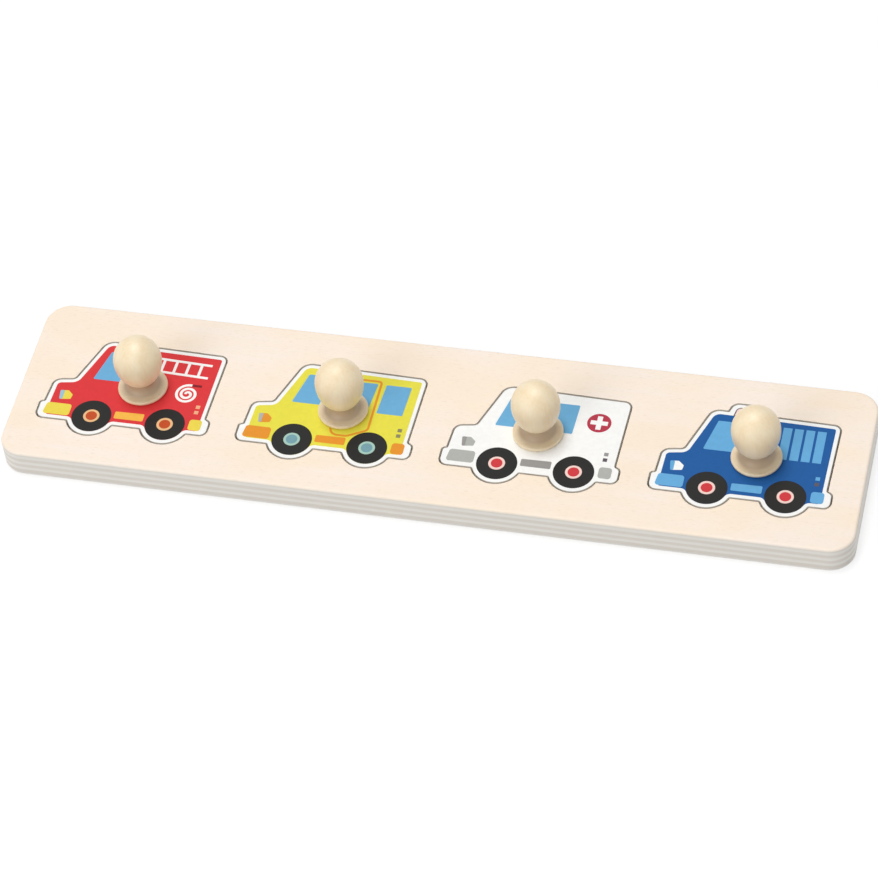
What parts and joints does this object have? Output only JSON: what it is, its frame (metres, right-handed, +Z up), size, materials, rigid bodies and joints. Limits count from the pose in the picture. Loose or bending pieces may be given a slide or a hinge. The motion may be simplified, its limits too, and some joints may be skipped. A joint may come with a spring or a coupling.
{
  "type": "peg puzzle",
  "caption": "Long plywood tray with vehicle-shaped openings; each printed wooden vehicle lifts out by its turned knob.",
  "frame": {"origin": "middle of the tray's underside, on the surface it rests on", "axes": "+X along the tray towards the blue truck, +Y to the tray's back edge, behind the roofs, +Z up along the knobs"},
  "size_m": [0.3, 0.0716, 0.0341],
  "materials": {
    "tray_wood": "pale plywood, sanded, clear matt lacquer",
    "block_wood": "pale plywood, sawn edges",
    "knob_wood": "turned birch, clear satin lacquer",
    "screw_steel": "bright zinc",
    "fire_engine_ink": "printed acrylic ink, red picture on white",
    "yellow_van_ink": "printed acrylic ink, yellow picture on white",
    "ambulance_ink": "printed acrylic ink, white picture on white",
    "blue_truck_ink": "printed acrylic ink, blue picture on white"
  },
  "bodies": {
    "board": {"backing_board": "tray_wood", "frame_board": "tray_wood"},
    "fire_engine": {"fire_engine_block": "block_wood", "fire_engine_print": "fire_engine_ink", "fire_engine_knob": "knob_wood", "fire_engine_screw": "screw_steel"},
    "yellow_van": {"yellow_van_block": "block_wood", "yellow_van_print": "yellow_van_ink", "yellow_van_knob": "knob_wood", "yellow_van_screw": "screw_steel"},
    "ambulance": {"ambulance_block": "block_wood", "ambulance_print": "ambulance_ink", "ambulance_knob": "knob_wood", "ambulance_screw": "screw_steel"},
    "blue_truck": {"blue_truck_block": "block_wood", "blue_truck_print": "blue_truck_ink", "blue_truck_knob": "knob_wood", "blue_truck_screw": "screw_steel"}
  },
  "joints": [
    {"name": "lift_fire_engine", "type": "slide", "parent": "board", "child": "fire_engine", "axis": [0, 0, 1], "range_m": [0, 0.03]},
    {"name": "lift_yellow_van", "type": "slide", "parent": "board", "child": "yellow_van", "axis": [0, 0, 1], "range_m": [0, 0.03]},
    {"name": "lift_ambulance", "type": "slide", "parent": "board", "child": "ambulance", "axis": [0, 0, 1], "range_m": [0, 0.03]},
    {"name": "lift_blue_truck", "type": "slide", "parent": "board", "child": "blue_truck", "axis": [0, 0, 1], "range_m": [0, 0.03]}
  ]
}
